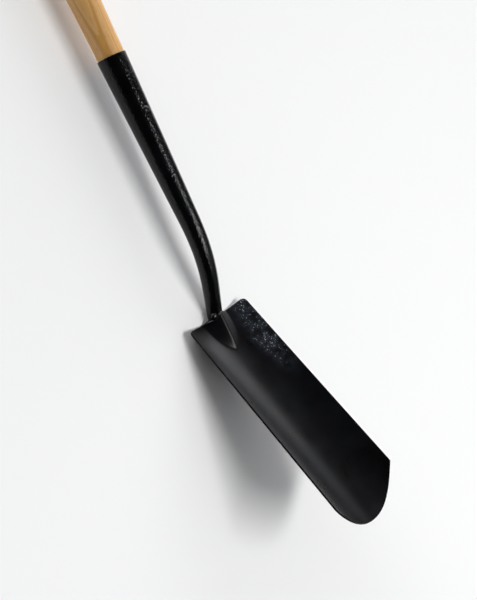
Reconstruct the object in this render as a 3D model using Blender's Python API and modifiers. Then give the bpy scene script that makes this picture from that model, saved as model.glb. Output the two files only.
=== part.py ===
"""A long-handled drain spade.

The blade is pressed from one sheet into a trough with a round point and a raised frog.
A swan-neck tube socket is welded into the frog, and a turned ash handle is driven into
the socket and held by one rivet. The spade lies on its back, the way it is put down:
on the heel of the blade and the butt of the handle, with the point in the air.

The head has a frame of its own. Its +X runs down the blade from the top edge to the
point, +Y runs across the blade and +Z stands out of its hollow face, with z = 0 at the
bottom of the hollow. All sizes are in metres and angles in degrees.
"""
import bpy
import bmesh
from math import atan2, cos, hypot, pi, radians, sin, sqrt, tan
from mathutils import Matrix, Vector

# Blade
BLADE_LENGTH = 0.355
TOP_WIDTH = 0.1143
LOWER_WIDTH = 0.127
TOP_DISH = 0.0153
POINT_DISH = 0.0292
SHEET = 0.0025
POINT_LENGTH = 0.046
POINT_FULLNESS = 2.2
POINT_FLAT = 0.008
TOP_CORNER_RADIUS = 0.007

# Frog, the ridge that takes the neck
FROG_LENGTH = 0.0525
FROG_WIDTH = 0.0475
FROG_CREST_SOFTNESS = 0.0030
FROG_FOOT_SOFTNESS = 0.0014
FROG_POINT_SOFTNESS = 0.0040

# Neck and socket, one swaged tube
NECK_HEIGHT = 0.0070
NECK_DIAMETER = 0.0218
NECK_ANGLE = 46.65
NECK_PROUD = 0.0006
NECK_STRAIGHT = 0.0307
NECK_FOOT_DEPTH = 0.008
BEND_LENGTH = 0.1299
BEND_DIAMETER = 0.0295
SOCKET_ANGLE = 21.6
SOCKET_LENGTH = 0.2265
MOUTH_DIAMETER = 0.0413
TUBE_WALL = 0.0019
FOOT_CLEARANCE = 0.0012

# Weld between the frog's top edge and the neck
WELD_RADIUS = 0.0021
WELD_SINK = 0.0007
WELD_DISTANCE = 0.0028
WELD_HALF_WIDTH = 0.0165
WELD_TAPER_LENGTH = 0.005
WELD_END_SHARE = 0.35

# Handle
HANDLE_LENGTH = 1.219
CHUCK_END_ROOM = 0.006
CHUCK_END_CHAMFER = 0.003
HANDLE_STEP = 0.0005
HANDLE_STEP_LENGTH = 0.004
SWELL_DIAMETER = 0.0422
SWELL_DISTANCE = 0.110
GRIP_DIAMETER = 0.0355
GRIP_DISTANCE = 0.640
BUTT_DIAMETER = 0.0375
BUTT_DOME = 0.012
BUTT_FLAT_DIAMETER = 0.018

# Rivet through the socket and the handle
RIVET_DISTANCE = 0.081
RIVET_DIAMETER = 0.0048
RIVET_HEAD_DIAMETER = 0.0098
RIVET_HEAD_HEIGHT = 0.0022
RIVET_TAIL_DIAMETER = 0.0084
RIVET_TAIL_HEIGHT = 0.0017

# Clearances
FIT_GAP = 0.0003
CUT_MARGIN = 0.006

# Facets
ROUND_STEPS = 32
BEND_STEPS = 14
WELD_STEPS = 20
WELD_SIDES = 10
CORNER_ROWS = 5
FROG_ROWS = 13
BLADE_ROWS = 7
POINT_ROWS = 14

# Shares of the way from the centre line to the frog's foot line, and on to the side
FROG_COLUMNS = (0.0, 0.07, 0.16, 0.28, 0.44, 0.62, 0.78, 0.89, 0.96)
SIDE_COLUMNS = (0.0, 0.05, 0.12, 0.24, 0.43, 0.62, 0.81, 1.0)
PLAIN_COLUMN_SHARE = 0.5
FROG_FAN_START = 0.9
FROG_COLUMN_ROOM = 0.004

# Sizes that follow from those above
SIDE_LENGTH = BLADE_LENGTH - POINT_LENGTH
NECK_RADIUS = NECK_DIAMETER / 2
BEND_RADIUS = BEND_DIAMETER / 2
MOUTH_RADIUS = MOUTH_DIAMETER / 2
FROG_HEIGHT = NECK_HEIGHT + NECK_RADIUS / cos(radians(NECK_ANGLE)) - NECK_PROUD
FROG_HALF_WIDTH = hypot(FROG_WIDTH / 2, FROG_CREST_SOFTNESS) - FROG_CREST_SOFTNESS
CHUCK_LENGTH = SOCKET_LENGTH - CHUCK_END_ROOM
EXPOSED_LENGTH = HANDLE_LENGTH - CHUCK_LENGTH
SOCKET_TAPER = (MOUTH_RADIUS - BEND_RADIUS) / SOCKET_LENGTH


def clear_scene():
    for old in list(bpy.data.objects):
        bpy.data.objects.remove(old, do_unlink=True)


def make_collection(name):
    collection = bpy.data.collections.new(name)
    bpy.context.scene.collection.children.link(collection)
    return collection


def make_material(name, color, roughness, metallic):
    material = bpy.data.materials.new(name)
    material.use_nodes = True
    shader = material.node_tree.nodes["Principled BSDF"]
    shader.inputs["Base Color"].default_value = (*color, 1.0)
    shader.inputs["Roughness"].default_value = roughness
    shader.inputs["Metallic"].default_value = metallic
    return material


def add_object(name, data, collection, parent):
    obj = bpy.data.objects.new(name, data)
    collection.objects.link(obj)
    obj.parent = parent
    return obj


def add_cutter(name, data, collection, parent):
    cutter = add_object(name, data, collection, parent)
    cutter.hide_render = True
    cutter.display_type = "WIRE"
    return cutter


def add_boolean(obj, cutter, operation):
    modifier = obj.modifiers.new(cutter.name, "BOOLEAN")
    modifier.operation = operation
    modifier.solver = "EXACT"
    modifier.object = cutter


def shade_round(mesh, sharp_angle):
    mesh.shade_smooth()
    mesh.set_sharp_from_angle(angle=radians(sharp_angle))


def sharpen_rim(mesh):
    """Marks the open border of a sheet sharp, so that its cut edge stays crisp."""
    shape = bmesh.new()
    shape.from_mesh(mesh)
    for edge in shape.edges:
        if edge.is_boundary:
            edge.smooth = False
    shape.to_mesh(mesh)
    shape.free()


def curve_to_mesh(curve, name):
    """The closed mesh of a curve, with its end caps welded on."""
    holder = bpy.data.objects.new(name, curve)
    bpy.context.scene.collection.objects.link(holder)
    graph = bpy.context.evaluated_depsgraph_get()
    mesh = bpy.data.meshes.new_from_object(holder.evaluated_get(graph))
    mesh.name = name
    shape = bmesh.new()
    shape.from_mesh(mesh)
    bmesh.ops.remove_doubles(shape, verts=shape.verts, dist=0.000001)
    bmesh.ops.recalc_face_normals(shape, faces=shape.faces)
    shape.to_mesh(mesh)
    shape.free()
    bpy.data.objects.remove(holder, do_unlink=True)
    return mesh


def tube_mesh(name, path, sides):
    """A solid round bar along a path of (point, radius)."""
    curve = bpy.data.curves.new(name, "CURVE")
    curve.dimensions = "3D"
    curve.bevel_depth = MOUTH_RADIUS
    curve.bevel_resolution = sides // 2 - 2
    curve.use_fill_caps = True
    spline = curve.splines.new("POLY")
    spline.points.add(len(path) - 1)
    for knot, (point, radius) in zip(spline.points, path):
        knot.co = (*point, 1.0)
        knot.radius = radius / MOUTH_RADIUS
    return curve_to_mesh(curve, name)


def turned_mesh(name, profile):
    """The open profile of a turned piece, from its top to its bottom on the outer side."""
    mesh = bpy.data.meshes.new(name)
    shape = bmesh.new()
    verts = [shape.verts.new((radius, 0.0, height)) for radius, height in profile]
    for upper, lower in zip(verts, verts[1:]):
        shape.edges.new((upper, lower))
    shape.to_mesh(mesh)
    shape.free()
    return mesh


def add_screw(obj):
    screw = obj.modifiers.new("turn", "SCREW")
    screw.steps = ROUND_STEPS
    screw.render_steps = ROUND_STEPS
    screw.use_merge_vertices = True
    screw.merge_threshold = 0.00001
    screw.use_smooth_shade = True


# Shape of the blade

def blade_width(x):
    return TOP_WIDTH + (LOWER_WIDTH - TOP_WIDTH) * x / SIDE_LENGTH


def half_width(x):
    """Half the blade's width at x, with its round shoulders and its round point."""
    splay = atan2((LOWER_WIDTH - TOP_WIDTH) / 2, SIDE_LENGTH)
    if x < TOP_CORNER_RADIUS:
        centre = TOP_WIDTH / 2 + TOP_CORNER_RADIUS * (tan(splay) - 1 / cos(splay))
        return centre + sqrt(x * (2 * TOP_CORNER_RADIUS - x))
    if x < SIDE_LENGTH:
        return blade_width(x) / 2
    left = max(0.0, (BLADE_LENGTH - x) / POINT_LENGTH)
    return max(LOWER_WIDTH / 2 * left ** (1 / POINT_FULLNESS), POINT_FLAT / 2)


def dish_height(x, y):
    """Height of the trough's round bottom, whose width and depth grow to the point."""
    half = blade_width(x) / 2
    depth = TOP_DISH + (POINT_DISH - TOP_DISH) * x / BLADE_LENGTH
    radius = (half * half + depth * depth) / (2 * depth)
    return radius - sqrt(radius * radius - y * y)


def frog_height(x, y):
    """Height of the frog over the trough: a ridge that runs out at its point."""
    share = max(0.0, x / FROG_LENGTH)
    left = 1 - share
    eased = (left + hypot(left, FROG_POINT_SOFTNESS / FROG_LENGTH)) / 2
    slope = FROG_HEIGHT / FROG_HALF_WIDTH * sqrt(eased / (1 + share))
    crest = FROG_HEIGHT * (1 - x / FROG_LENGTH)
    rise = crest - slope * (hypot(y, FROG_CREST_SOFTNESS) - FROG_CREST_SOFTNESS)
    return (rise + hypot(rise, FROG_FOOT_SOFTNESS)) / 2


def face_height(x, y):
    return dish_height(x, y) + frog_height(x, y)


def face_normal(x, y):
    """Unit vector out of the blade's face."""
    step = SHEET / 10
    along = (face_height(x + step, y) - face_height(x - step, y)) / (2 * step)
    across = (face_height(x, y + step) - face_height(x, y - step)) / (2 * step)
    return Vector((-along, -across, 1.0)).normalized()


def frog_foot_line(x):
    """Distance from the centre line at which the frog's flank meets the trough."""
    share = min(1.0, max(0.0, x / FROG_LENGTH))
    reach = FROG_HALF_WIDTH * sqrt(1 - share * share) + FROG_CREST_SOFTNESS
    return sqrt(reach * reach - FROG_CREST_SOFTNESS * FROG_CREST_SOFTNESS)


def blade_rows():
    """Distances down the blade, closest together at the shoulders, the frog's point and the blade's."""
    shoulder = [TOP_CORNER_RADIUS * (1 - cos(pi / 2 * i / CORNER_ROWS)) for i in range(CORNER_ROWS + 1)]
    ridge = FROG_LENGTH - TOP_CORNER_RADIUS
    frog = [TOP_CORNER_RADIUS + ridge * sin(pi / 2 * i / FROG_ROWS) for i in range(1, FROG_ROWS)]
    below = [FROG_LENGTH * share for share in (1.02, 1.06, 1.12, 1.22)]
    plain = SIDE_LENGTH - below[-1]
    sides = [below[-1] + plain * i / BLADE_ROWS for i in range(1, BLADE_ROWS + 1)]
    shares = [cos(pi / 2 * i / POINT_ROWS) for i in range(1, POINT_ROWS)]
    point = [BLADE_LENGTH - POINT_LENGTH * share ** POINT_FULLNESS for share in shares]
    return shoulder + frog + below + sides + point + [BLADE_LENGTH]


def blade_columns(x):
    """Distances across the blade at x, with one column on the frog's foot line."""
    side = half_width(x)
    below_frog = min(1.0, max(0.0, x / FROG_LENGTH - FROG_FAN_START))
    foot = max(frog_foot_line(x), side * PLAIN_COLUMN_SHARE * below_frog, FROG_COLUMN_ROOM)
    foot = min(foot, side * PLAIN_COLUMN_SHARE)
    half = [foot * share for share in FROG_COLUMNS]
    half += [foot + (side - foot) * share for share in SIDE_COLUMNS]
    return [-y for y in reversed(half[1:])] + half


def pressed_sheet(name, lift):
    """The face of the pressed blade, raised by lift."""
    rows = blade_rows()
    columns = len(blade_columns(0.0))
    shape = bmesh.new()
    bmesh.ops.create_grid(shape, x_segments=len(rows) - 1, y_segments=columns - 1, size=1.0)
    shape.verts.ensure_lookup_table()
    grid = sorted(shape.verts, key=lambda v: (round(v.co.x, 5), round(v.co.y, 5)))
    for row, x in enumerate(rows):
        for column, y in enumerate(blade_columns(x)):
            grid[row * columns + column].co = (x, y, face_height(x, y) + lift)
    bmesh.ops.recalc_face_normals(shape, faces=shape.faces)
    if sum(face.normal.z for face in shape.faces) < 0:
        bmesh.ops.reverse_faces(shape, faces=shape.faces)
    mesh = bpy.data.meshes.new(name)
    shape.to_mesh(mesh)
    shape.free()
    return mesh


def add_sheet_thickness(obj, thickness):
    solid = obj.modifiers.new("sheet", "SOLIDIFY")
    solid.thickness = thickness
    solid.offset = -1.0
    solid.use_even_offset = True


# Shape of the neck and the socket

def neck_start():
    return Vector((0.0, 0.0, NECK_HEIGHT))


def neck_direction(angle):
    """Unit vector up the neck, at an angle over the blade's length."""
    return Vector((-cos(radians(angle)), 0.0, sin(radians(angle))))


def front_direction(angle):
    """Unit vector out of the front of the neck, square to its length."""
    return Vector((sin(radians(angle)), 0.0, cos(radians(angle))))


def bend_points():
    """Points along the swan neck's bend, which eases from one angle into the other."""
    point = neck_start() + neck_direction(NECK_ANGLE) * NECK_STRAIGHT
    points = [point]
    for i in range(BEND_STEPS):
        share = (i + 0.5) / BEND_STEPS
        eased = share * share * (3 - 2 * share)
        angle = NECK_ANGLE + (SOCKET_ANGLE - NECK_ANGLE) * eased
        point = point + neck_direction(angle) * (BEND_LENGTH / BEND_STEPS)
        points.append(point)
    return points


def neck_path(grow, reach):
    """The tube's path from its foot to its mouth, with radii larger by grow and ends longer by reach."""
    lower_length = NECK_STRAIGHT + BEND_LENGTH
    swage = (BEND_RADIUS - NECK_RADIUS) / lower_length
    foot = neck_start() - neck_direction(NECK_ANGLE) * (NECK_FOOT_DEPTH + reach)
    path = [(foot, NECK_RADIUS + grow)]
    for i, point in enumerate(bend_points()):
        along = NECK_STRAIGHT + BEND_LENGTH * i / BEND_STEPS
        path.append((point, NECK_RADIUS + swage * along + grow))
    mouth = mouth_centre() + neck_direction(SOCKET_ANGLE) * reach
    path.append((mouth, MOUTH_RADIUS + SOCKET_TAPER * reach + grow))
    return path


def mouth_centre():
    return bend_points()[-1] + neck_direction(SOCKET_ANGLE) * SOCKET_LENGTH


def bore_radius(height):
    """Radius of the socket's bore at a height over its mouth, negative inside the socket."""
    return MOUTH_RADIUS - TUBE_WALL + SOCKET_TAPER * height


# Shape of the handle

def handle_profile():
    """Radius and height over the socket's mouth, from the butt down to the chuck's end."""
    dome_foot = EXPOSED_LENGTH - BUTT_DOME
    flat = BUTT_FLAT_DIAMETER / 2
    butt = BUTT_DIAMETER / 2
    collar = bore_radius(0.0) + HANDLE_STEP
    chuck_end = bore_radius(-CHUCK_LENGTH) - FIT_GAP
    dome = []
    for i in range(7):
        turn = pi / 2 * i / 6
        dome.append((flat + (butt - flat) * sin(turn), dome_foot + BUTT_DOME * cos(turn)))
    stations = [
        (butt, dome_foot),
        (GRIP_DIAMETER / 2, GRIP_DISTANCE),
        (SWELL_DIAMETER / 2, SWELL_DISTANCE),
        (collar, HANDLE_STEP_LENGTH),
    ]
    shaft = []
    for (upper, top), (lower, bottom) in zip(stations, stations[1:]):
        for i in range(1, 7):
            share = i / 6
            eased = share * share * (3 - 2 * share)
            shaft.append((upper + (lower - upper) * eased, top + (bottom - top) * share))
    chuck = [
        (bore_radius(FIT_GAP) - FIT_GAP, FIT_GAP),
        (chuck_end + SOCKET_TAPER * CHUCK_END_CHAMFER, CHUCK_END_CHAMFER - CHUCK_LENGTH),
        (chuck_end - CHUCK_END_CHAMFER, -CHUCK_LENGTH),
    ]
    return [(0.0, EXPOSED_LENGTH)] + dome + shaft + chuck + [(0.0, -CHUCK_LENGTH)]


# Shape of the rivet

def rivet_profile():
    """Head, body and tail of the rivet blank, along its own length from front to back."""
    reach = socket_radius_at_rivet()
    head = RIVET_HEAD_DIAMETER / 2
    tail = RIVET_TAIL_DIAMETER / 2
    profile = [(0.0, reach + RIVET_HEAD_HEIGHT)]
    for i in range(1, 6):
        turn = pi / 2 * i / 5
        profile.append((head * sin(turn), reach + RIVET_HEAD_HEIGHT * cos(turn)))
    profile += [(head, 0.0), (tail, 0.0), (tail, -reach)]
    for i in range(1, 5):
        turn = pi / 2 * i / 5
        profile.append((tail * cos(turn), -reach - RIVET_TAIL_HEIGHT * sin(turn)))
    return profile + [(0.0, -reach - RIVET_TAIL_HEIGHT)]


def socket_radius_at_rivet():
    return MOUTH_RADIUS - SOCKET_TAPER * RIVET_DISTANCE


# Shape of the weld

def weld_path():
    """A bead across the frog beside its top edge, sunk into the face and thinner at both ends."""
    path = []
    for i in range(WELD_STEPS + 1):
        y = WELD_HALF_WIDTH * (2 * i / WELD_STEPS - 1)
        face = Vector((WELD_DISTANCE, y, face_height(WELD_DISTANCE, y)))
        taper = min(1.0, (WELD_HALF_WIDTH - abs(y)) / WELD_TAPER_LENGTH)
        radius = WELD_RADIUS * (WELD_END_SHARE + (1 - WELD_END_SHARE) * sin(taper * pi / 2))
        path.append((face - face_normal(WELD_DISTANCE, y) * WELD_SINK, radius))
    return path


# Building the pieces

def build_blade(parts, head, neck_clearance, material):
    blade = add_object("blade", pressed_sheet("blade", 0.0), parts, head)
    shade_round(blade.data, 30)
    sharpen_rim(blade.data)
    add_sheet_thickness(blade, SHEET)
    add_boolean(blade, neck_clearance, "DIFFERENCE")
    blade.data.materials.append(material)
    return blade


def foot_grind_mesh():
    """A block under the plane that is ground on the foot of the neck, just clear of the floor."""
    size = NECK_DIAMETER * 4
    shape = bmesh.new()
    bmesh.ops.create_cube(shape, size=size)
    bmesh.ops.translate(shape, verts=shape.verts, vec=(0.0, 0.0, -size / 2))
    bmesh.ops.rotate(shape, verts=shape.verts, matrix=Matrix.Rotation(rest_tilt(), 3, "Y"))
    bmesh.ops.translate(shape, verts=shape.verts, vec=(0.0, 0.0, heel_height() + FOOT_CLEARANCE))
    mesh = bpy.data.meshes.new("foot_grind")
    shape.to_mesh(mesh)
    shape.free()
    return mesh


def build_socket(parts, cutters, head, rivet_hole, material):
    bore_mesh = tube_mesh("socket_bore", neck_path(-TUBE_WALL, CUT_MARGIN), ROUND_STEPS)
    bore = add_cutter("socket_bore", bore_mesh, cutters, head)
    grind = add_cutter("foot_grind", foot_grind_mesh(), cutters, head)
    socket = add_object("socket", tube_mesh("socket", neck_path(0.0, 0.0), ROUND_STEPS), parts, head)
    shade_round(socket.data, 40)
    add_boolean(socket, grind, "DIFFERENCE")
    add_boolean(socket, rivet_hole, "DIFFERENCE")
    add_boolean(socket, bore, "DIFFERENCE")
    socket.data.materials.append(material)
    return socket


def build_weld(parts, cutters, head, neck_clearance, material):
    sheet = add_cutter("frog_clearance", pressed_sheet("frog_clearance", FIT_GAP), cutters, head)
    add_sheet_thickness(sheet, SHEET * 3)
    weld = add_object("neck_weld", tube_mesh("neck_weld", weld_path(), WELD_SIDES), parts, head)
    shade_round(weld.data, 50)
    add_boolean(weld, neck_clearance, "DIFFERENCE")
    add_boolean(weld, sheet, "DIFFERENCE")
    weld.data.materials.append(material)
    return weld


def build_handle(parts, axis, rivet_hole, material):
    handle = add_object("handle", turned_mesh("handle", handle_profile()), parts, axis)
    add_screw(handle)
    add_boolean(handle, rivet_hole, "DIFFERENCE")
    handle.data.materials.append(material)
    return handle


def cylinder_mesh(name, radius, length):
    shape = bmesh.new()
    bmesh.ops.create_cone(
        shape, cap_ends=True, segments=ROUND_STEPS // 2, radius1=radius, radius2=radius, depth=length
    )
    mesh = bpy.data.meshes.new(name)
    shape.to_mesh(mesh)
    shape.free()
    return mesh


def build_rivet(parts, cutters, rivet_axis, socket_clearance, material):
    length = 2 * socket_radius_at_rivet() + RIVET_TAIL_HEIGHT
    shank = add_cutter("rivet_shank", cylinder_mesh("rivet_shank", RIVET_DIAMETER / 2, length), cutters, rivet_axis)
    rivet = add_object("rivet", turned_mesh("rivet", rivet_profile()), parts, rivet_axis)
    add_screw(rivet)
    add_boolean(rivet, socket_clearance, "DIFFERENCE")
    add_boolean(rivet, shank, "UNION")
    rivet.data.materials.append(material)
    return rivet


# Placing the spade

def handle_side_points():
    """The handle's profile in the head's frame, on the side that faces the floor."""
    along = neck_direction(SOCKET_ANGLE)
    front = front_direction(SOCKET_ANGLE)
    return [mouth_centre() + along * height - front * radius for radius, height in handle_profile()]


def heel_height():
    """Height of the lowest line on the blade's back at its top edge, beside the frog's foot."""
    return min(face_height(0.0, y) - SHEET / face_normal(0.0, y).z for y in blade_columns(0.0))


def rest_tilt():
    """Angle between the blade's length and the floor when heel and butt both touch it."""
    heel = heel_height()
    return min(atan2(point.z - heel, -point.x) for point in handle_side_points() if point.x < 0)


def place_spade(head):
    """Lays the spade down, centred over its length, with its lowest points at z = 0."""
    tilt = rest_tilt()
    turn = Matrix.Rotation(-tilt, 4, "Y")
    heel = turn @ Vector((0.0, 0.0, heel_height()))
    point_end = (turn @ Vector((BLADE_LENGTH, 0.0, -SHEET))).x
    along = neck_direction(SOCKET_ANGLE)
    front = front_direction(SOCKET_ANGLE)
    rim = [mouth_centre() + along * height + front * radius for radius, height in handle_profile()]
    butt_end = min((turn @ point).x for point in rim + handle_side_points())
    head.rotation_euler = (0.0, -tilt, 0.0)
    head.location = (-(point_end + butt_end) / 2, 0.0, -heel.z)


def add_axis(name, collection, parent, location, rotation):
    """An empty that carries what lies along one line of the head."""
    axis = add_object(name, None, collection, parent)
    axis.empty_display_size = MOUTH_DIAMETER
    axis.location = location
    axis.rotation_euler = rotation
    return axis


def main():
    clear_scene()
    parts = make_collection("drain_spade")
    cutters = make_collection("cutters")
    paint = make_material("black_painted_steel", (0.012, 0.013, 0.014), 0.33, 0.0)
    weld_paint = make_material("black_painted_weld", (0.014, 0.014, 0.015), 0.38, 0.0)
    rivet_paint = make_material("black_painted_rivet", (0.03, 0.03, 0.031), 0.35, 0.2)
    ash = make_material("varnished_ash", (0.56, 0.36, 0.17), 0.42, 0.0)

    head = add_axis("head", parts, None, (0.0, 0.0, 0.0), (0.0, 0.0, 0.0))
    place_spade(head)
    lean = radians(SOCKET_ANGLE) - pi / 2
    socket_axis = add_axis("socket_axis", parts, head, mouth_centre(), (0.0, lean, 0.0))
    rivet_place = mouth_centre() - neck_direction(SOCKET_ANGLE) * RIVET_DISTANCE
    rivet_axis = add_axis("rivet_axis", parts, head, rivet_place, (0.0, radians(SOCKET_ANGLE), 0.0))

    clearance_mesh = tube_mesh("neck_clearance", neck_path(FIT_GAP, FIT_GAP), ROUND_STEPS)
    neck_clearance = add_cutter("neck_clearance", clearance_mesh, cutters, head)
    hole_mesh = cylinder_mesh("rivet_hole", RIVET_DIAMETER / 2 + FIT_GAP, MOUTH_DIAMETER * 1.5)
    rivet_hole = add_cutter("rivet_hole", hole_mesh, cutters, rivet_axis)

    build_blade(parts, head, neck_clearance, paint)
    build_socket(parts, cutters, head, rivet_hole, paint)
    build_weld(parts, cutters, head, neck_clearance, weld_paint)
    build_handle(parts, socket_axis, rivet_hole, ash)
    build_rivet(parts, cutters, rivet_axis, neck_clearance, rivet_paint)


main()
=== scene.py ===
"""A long-handled drain spade: its finished pieces, finishes, light and camera.

The pressed blade, the swan-neck socket, the weld between them, the turned ash handle
and its rivet are modelled in the head's own frame and then laid down as the spade
rests, on its heel and its butt. In the head's frame +X runs down the blade from its
top edge to its point, +Y runs across it and +Z stands out of its hollow face, with
z = 0 at the bottom of the hollow. Lengths are in metres, apart from names that end in
mm. Angles are in degrees, apart from a turn, a lean or a tilt, which is in radians.
"""

import logging
from dataclasses import dataclass
from enum import Enum
from math import atan2, cos, exp, hypot, pi, radians, sin, sqrt, tan

import bpy
from bpy.types import Material, Node, NodeSocket, NodeTree, Object
from mathutils import Matrix, Vector


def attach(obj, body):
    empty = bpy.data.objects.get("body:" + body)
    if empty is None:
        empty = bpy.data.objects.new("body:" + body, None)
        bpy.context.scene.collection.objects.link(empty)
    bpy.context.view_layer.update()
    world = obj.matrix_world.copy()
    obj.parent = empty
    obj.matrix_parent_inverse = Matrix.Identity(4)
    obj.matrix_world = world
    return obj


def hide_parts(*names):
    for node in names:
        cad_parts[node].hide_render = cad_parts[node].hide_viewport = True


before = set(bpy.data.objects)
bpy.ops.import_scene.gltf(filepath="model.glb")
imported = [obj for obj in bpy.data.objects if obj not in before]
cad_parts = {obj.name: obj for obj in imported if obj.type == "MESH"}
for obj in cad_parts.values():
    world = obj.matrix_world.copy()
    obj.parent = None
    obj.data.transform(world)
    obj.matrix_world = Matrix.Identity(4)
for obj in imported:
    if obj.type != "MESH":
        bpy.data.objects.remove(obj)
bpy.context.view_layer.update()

log = logging.getLogger("drain_spade")

BODY = "root"

# In background mode the rotate tool turns the other way round, so its angles are given reversed.
TURN_SIGN = -1.0

# The head's tilt and place when the spade lies on its heel and its butt, as part.py lays it.
HEAD_TILT = 0.3975115120
HEAD_PLACE = Vector((0.5266543031, 0.0, -0.0005110123))

# Edges sharper than this are rounded, in so many steps.
SHARP_EDGE = 50.0
ROUND_STEPS = 3

# A turn or a growth from ring to ring that is smaller than this is left out.
SMALLEST_TURN = 1e-6
SMALLEST_GROWTH = 1e-7

# The Mix node's colour sockets by number, because its sockets share their names.
FIRST_COLOUR = 6
SECOND_COLOUR = 7
MIXED_COLOUR = 2

MULTIPLY = {"operation": "MULTIPLY"}

# Two or three measures that belong together
Pair = tuple[float, float]
Triple = tuple[float, float, float]


class Axis(Enum):
    """The axis that a round piece's sections are turned about as it is drawn out."""

    ACROSS = "Y"
    ALONG = "X"


class End(Enum):
    """How a round piece starts and ends."""

    OPEN = "NOTHING"
    CLOSED = "NGON"


class Merge(Enum):
    """What is done with a second shape where it meets a piece."""

    CUT = "DIFFERENCE"
    ADD = "UNION"


# Modelling by hand

def head_matrix() -> Matrix:
    """The head's frame in the world, with the spade lying on its heel and its butt."""
    return Matrix.Translation(HEAD_PLACE) @ Matrix.Rotation(-HEAD_TILT, 4, "Y")


def deselect_all() -> None:
    """Leaves edit mode and clears the selection."""
    if bpy.context.object and bpy.context.object.mode != "OBJECT":
        bpy.ops.object.mode_set(mode="OBJECT")
    bpy.ops.object.select_all(action="DESELECT")


def choose(obj: Object) -> None:
    """Makes one object the only selected one, and the active one."""
    deselect_all()
    obj.select_set(True)
    bpy.context.view_layer.objects.active = obj


def name_new(name: str) -> Object:
    """Names the object that was just added, and its mesh.

    Args:
        name: The piece's name.

    Returns:
        The new object.
    """
    obj = bpy.context.object
    obj.name = name
    obj.data.name = name
    return obj


def turn_selected(angle: float, axis: Axis, centre: Vector) -> None:
    """Turns what is selected in edit mode about a line through a point.

    Args:
        angle: Right-handed angle in radians.
        axis: The line's direction.
        centre: The point.
    """
    bpy.ops.transform.rotate(
        value=TURN_SIGN * angle, orient_axis=axis.value, orient_type="GLOBAL", center_override=centre
    )


@dataclass(frozen=True)
class Section:
    """One round cross-section of a drawn-out piece."""

    centre: Vector
    radius: float
    turn: float = 0.0


def draw_out(name: str, sections: list[Section], sides: int, ends: End, axis: Axis = Axis.ACROSS) -> Object:
    """Draws a round piece out of a circle, ring by ring.

    Args:
        name: The piece's name.
        sections: Its cross-sections in order.
        sides: Points round each ring.
        ends: Whether the piece is capped or open.
        axis: The axis that the sections are turned about.

    Returns:
        The piece's object, at the origin.
    """
    deselect_all()
    first = sections[0]
    bpy.ops.mesh.primitive_circle_add(
        vertices=sides, radius=first.radius, fill_type=ends.value, enter_editmode=True,
    )
    obj = name_new(name)
    bpy.ops.mesh.select_all(action="SELECT")
    turn_selected(first.turn, axis, Vector((0.0, 0.0, 0.0)))
    bpy.ops.transform.translate(value=first.centre)
    for before, section in zip(sections, sections[1:]):
        move = section.centre - before.centre
        bpy.ops.mesh.extrude_region_move(TRANSFORM_OT_translate={"value": move})
        if abs(section.turn - before.turn) > SMALLEST_TURN:
            turn_selected(section.turn - before.turn, axis, section.centre)
        grow = section.radius / before.radius
        if abs(grow - 1.0) > SMALLEST_GROWTH:
            bpy.ops.transform.resize(value=(grow, grow, grow), center_override=section.centre)
    bpy.ops.mesh.select_all(action="SELECT")
    bpy.ops.mesh.normals_make_consistent(inside=False)
    bpy.ops.object.mode_set(mode="OBJECT")
    return obj


def apply_modifier(obj: Object, kind: str, **settings: object) -> None:
    """Adds a modifier to a piece with its settings and applies it.

    Args:
        obj: The piece.
        kind: The modifier's type.
        **settings: Its properties by name.
    """
    choose(obj)
    modifier = obj.modifiers.new(kind.lower(), kind)
    for key, value in settings.items():
        setattr(modifier, key, value)
    bpy.ops.object.modifier_apply(modifier=modifier.name)


def merge(obj: Object, other: Object, how: Merge) -> None:
    """Cuts a second shape out of a piece or adds it, and removes that shape.

    Args:
        obj: The piece.
        other: The second shape.
        how: Whether it is cut out or added.
    """
    apply_modifier(obj, "BOOLEAN", operation=how.value, solver="EXACT", object=other)
    bpy.data.objects.remove(other, do_unlink=True)


def thicken(obj: Object, thickness: float) -> None:
    """Gives an open sheet its thickness, on the side away from its normals."""
    apply_modifier(obj, "SOLIDIFY", thickness=thickness, offset=-1.0, use_even_offset=True)


def round_edges(obj: Object, width: float) -> None:
    """Rounds a piece's sharp edges to a width."""
    limit = radians(SHARP_EDGE)
    apply_modifier(obj, "BEVEL", width=width, segments=ROUND_STEPS, limit_method="ANGLE", angle_limit=limit)


def settle(obj: Object, place: Matrix) -> None:
    """Moves a piece's mesh to its place in the world, with its object left at the origin."""
    obj.data.transform(place)
    obj.data.update()


def finish_piece(obj: Object, smoothing: float, node: str, material: Material) -> None:
    """Smooths a piece, lays it in the world, dresses it and lets it stand for its CAD node.

    Args:
        obj: The piece, in the head's frame.
        smoothing: The angle over which an edge stays sharp.
        node: The CAD node that it replaces.
        material: The finish.
    """
    choose(obj)
    bpy.ops.object.shade_smooth_by_angle(angle=radians(smoothing))
    settle(obj, head_matrix())
    obj.data.materials.clear()
    obj.data.materials.append(material)
    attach(obj, BODY)
    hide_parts(node)
    log.info("%s: %d faces", obj.name, len(obj.data.polygons))


def spread(start: float, end: float, count: int) -> list[float]:
    """Evenly spaced values from start to end, both included."""
    return [start + (end - start) * i / count for i in range(count + 1)]


def ease(share: float) -> float:
    """A share from 0 to 1 that starts and ends gently."""
    return share * share * (3 - 2 * share)


# Finishes

def hex_colour(code: str) -> tuple[float, float, float, float]:
    """Turns an sRGB hex code into a linear colour.

    Args:
        code: Six hex digits after a hash.

    Returns:
        Linear red, green, blue and an alpha of 1.
    """
    channels = [int(code[i:i + 2], 16) / 255 for i in (1, 3, 5)]
    linear = [c / 12.92 if c <= 0.04045 else ((c + 0.055) / 1.055) ** 2.4 for c in channels]
    return (*linear, 1.0)


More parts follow.
